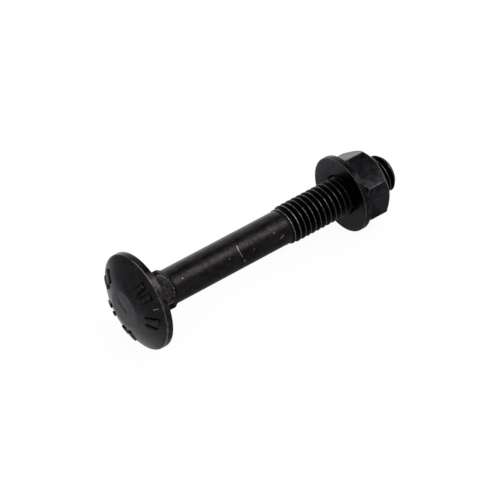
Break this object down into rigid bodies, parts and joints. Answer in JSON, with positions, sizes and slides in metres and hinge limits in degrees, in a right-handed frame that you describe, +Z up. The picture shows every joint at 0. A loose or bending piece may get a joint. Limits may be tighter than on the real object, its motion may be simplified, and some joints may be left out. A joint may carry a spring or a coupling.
{
  "type": "carriage bolt",
  "caption": "Black carriage bolt with a domed head and square neck, lying with its flat washer and hex nut on the thread.",
  "frame": {"origin": "on the surface that the bolt lies on, under the middle of its length and width", "axes": "+X along the bolt from its head to its thread's end, which leans down by 1.91 degrees because the washer is smaller than the head; +Z up from the surface; +Y to the left, seen from the head"},
  "size_m": [0.064, 0.0196, 0.0195],
  "materials": {
    "bolt_black": "satin black coating on forged steel, worn bright on the sharp edges",
    "washer_black": "satin black coating on punched steel",
    "nut_black": "satin black coating on turned and forged steel, mottled on its flats"
  },
  "bodies": {
    "bolt": {"bolt": "bolt_black"},
    "washer": {"washer": "washer_black"},
    "nut": {"nut": "nut_black"}
  },
  "joints": [
    {"name": "washer_slide", "type": "slide", "parent": "bolt", "child": "washer", "axis": [0.9994, 0, -0.0333], "range_m": [-0.01375, 0.00375]},
    {"name": "nut_turn", "type": "hinge", "parent": "washer", "child": "nut", "pos_m": [0.02482, 0, 0.00759], "axis": [0.9994, 0, -0.0333], "range_deg": [-3961, 1081]}
  ],
  "couplings": [
    {"joint": "nut_turn", "follows": "washer_slide", "rad_per_m": 5026.5}
  ]
}
